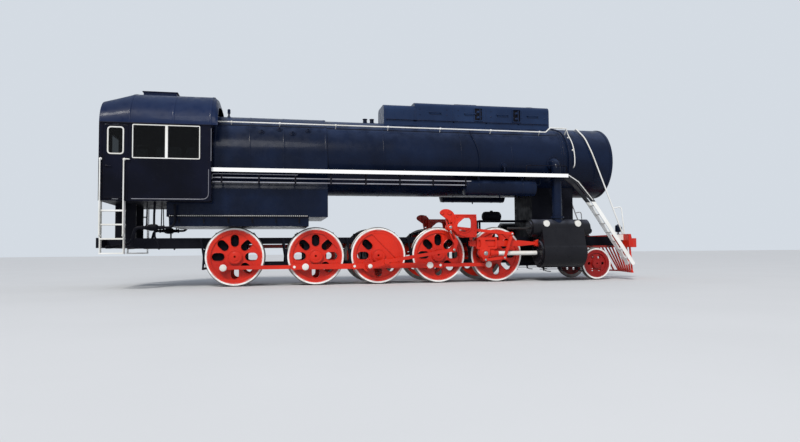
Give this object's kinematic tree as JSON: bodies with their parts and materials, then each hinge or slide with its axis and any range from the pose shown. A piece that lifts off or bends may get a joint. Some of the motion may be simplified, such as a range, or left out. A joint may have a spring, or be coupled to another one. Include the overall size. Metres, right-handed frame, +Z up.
{
  "type": "steam locomotive",
  "caption": "Heavy freight steam locomotive on its wheels, with boiler, cab, outside cylinders and valve gear, leading truck and automatic coupler.",
  "frame": {"origin": "on the floor under the middle of the engine's length, at the tips of the wheel flanges", "axes": "+X forward towards the smokebox, +Y to the engine's left, +Z up"},
  "size_m": [15.3, 3.282, 5.198],
  "materials": {
    "black_paint": "satin",
    "fitting_brass": "worn",
    "red_paint": "gloss",
    "rod_steel": "worn",
    "tyre_steel": "worn",
    "grey_paint": "satin",
    "white_paint": "satin",
    "glass": "clear",
    "seat_leather": "satin"
  },
  "bodies": {
    "engine": {"boiler_barrel": "black_paint", "smokebox": "black_paint", "firebox": "black_paint", "top_casing": "black_paint", "cab_sides": "black_paint", "cab_front_wall": "black_paint", "cab_rear_wall": "black_paint", "cab_roof": "black_paint", "running_boards": "black_paint", "air_reservoirs": "black_paint", "steam_pipes": "black_paint", "smokebox_saddle": "black_paint", "ash_pan": "black_paint", "frame_stretchers": "black_paint", "cab_floor": "black_paint", "drag_box": "black_paint", "backhead_fittings": "fitting_brass", "frame_plates": "red_paint", "axle_boxes": "red_paint", "springs": "red_paint", "front_beam": "red_paint", "cowcatcher": "red_paint", "front_coupler": "red_paint", "brake_gear": "red_paint", "motion_brackets": "red_paint", "eccentric_rods": "red_paint", "combination_levers": "red_paint", "expansion_links": "red_paint", "guide_bars": "red_paint", "radius_rods": "red_paint", "union_links": "red_paint", "crossheads": "rod_steel", "valve_spindles": "rod_steel", "cylinders": "grey_paint", "front_stairs": "white_paint", "cab_ladders": "white_paint", "handrails": "white_paint", "cab_glass": "glass", "crew_seats": "seat_leather"},
    "driver_axle_1": {"driver_wheelset_1": "red_paint", "driver_tyres_1": "tyre_steel"},
    "driver_axle_2": {"driver_wheelset_2": "red_paint", "driver_tyres_2": "tyre_steel"},
    "driver_axle_3": {"driver_wheelset_3": "red_paint", "driver_tyres_3": "tyre_steel"},
    "driver_axle_4": {"driver_wheelset_4": "red_paint", "driver_tyres_4": "tyre_steel"},
    "driver_axle_5": {"driver_wheelset_5": "red_paint", "driver_tyres_5": "tyre_steel"},
    "rods_right": {"coupling_rods_right": "red_paint"},
    "rods_left": {"coupling_rods_left": "red_paint"},
    "leading_truck": {"truck_frame": "red_paint"},
    "leading_axle": {"leading_wheelset": "red_paint", "leading_tyres": "tyre_steel"},
    "smokebox_door": {"smokebox_door": "black_paint", "headlamp": "black_paint"},
    "cab_door_right": {"cab_door_right": "black_paint", "door_glass_right": "glass"},
    "cab_door_left": {"cab_door_left": "black_paint", "door_glass_left": "glass"}
  },
  "joints": [
    {"name": "driver_3_spin", "type": "hinge", "parent": "engine", "child": "driver_axle_3", "pos_m": [-0.6, 0, 0.778], "axis": [0, 1, 0], "continuous": true},
    {"name": "driver_1_spin", "type": "hinge", "parent": "engine", "child": "driver_axle_1", "pos_m": [2.8, 0, 0.778], "axis": [0, 1, 0], "continuous": true},
    {"name": "driver_2_spin", "type": "hinge", "parent": "engine", "child": "driver_axle_2", "pos_m": [1.1, 0, 0.778], "axis": [0, 1, 0], "continuous": true},
    {"name": "driver_4_spin", "type": "hinge", "parent": "engine", "child": "driver_axle_4", "pos_m": [-2.3, 0, 0.778], "axis": [0, 1, 0], "continuous": true},
    {"name": "driver_5_spin", "type": "hinge", "parent": "engine", "child": "driver_axle_5", "pos_m": [-4.4, 0, 0.778], "axis": [0, 1, 0], "continuous": true},
    {"name": "rods_right_turn", "type": "hinge", "parent": "driver_axle_3", "child": "rods_right", "pos_m": [-0.88284, -0.945, 0.49516], "axis": [0, 1, 0], "continuous": true},
    {"name": "rods_left_turn", "type": "hinge", "parent": "driver_axle_3", "child": "rods_left", "pos_m": [-0.88284, 0.945, 1.06084], "axis": [0, 1, 0], "continuous": true},
    {"name": "truck_yaw", "type": "hinge", "parent": "engine", "child": "leading_truck", "pos_m": [3.75, 0, 0.478], "axis": [0, 0, 1], "range_deg": [-3, 3]},
    {"name": "leading_spin", "type": "hinge", "parent": "leading_truck", "child": "leading_axle", "pos_m": [5.92, 0, 0.478], "axis": [0, 1, 0], "continuous": true},
    {"name": "smokebox_door_swing", "type": "hinge", "parent": "engine", "child": "smokebox_door", "pos_m": [6.47, 0.835, 3.528], "axis": [0, 0, 1], "range_deg": [0, 110]},
    {"name": "cab_door_right_swing", "type": "hinge", "parent": "engine", "child": "cab_door_right", "pos_m": [-6.88, -1.518, 3.2], "axis": [0, 0, -1], "range_deg": [0, 90]},
    {"name": "cab_door_left_swing", "type": "hinge", "parent": "engine", "child": "cab_door_left", "pos_m": [-6.88, 1.518, 3.2], "axis": [0, 0, 1], "range_deg": [0, 90]}
  ],
  "couplings": [
    {"joint": "driver_1_spin", "follows": "driver_3_spin", "ratio": 1},
    {"joint": "driver_2_spin", "follows": "driver_3_spin", "ratio": 1},
    {"joint": "driver_4_spin", "follows": "driver_3_spin", "ratio": 1},
    {"joint": "driver_5_spin", "follows": "driver_3_spin", "ratio": 1},
    {"joint": "rods_right_turn", "follows": "driver_3_spin", "ratio": -1},
    {"joint": "rods_left_turn", "follows": "driver_3_spin", "ratio": -1}
  ]
}
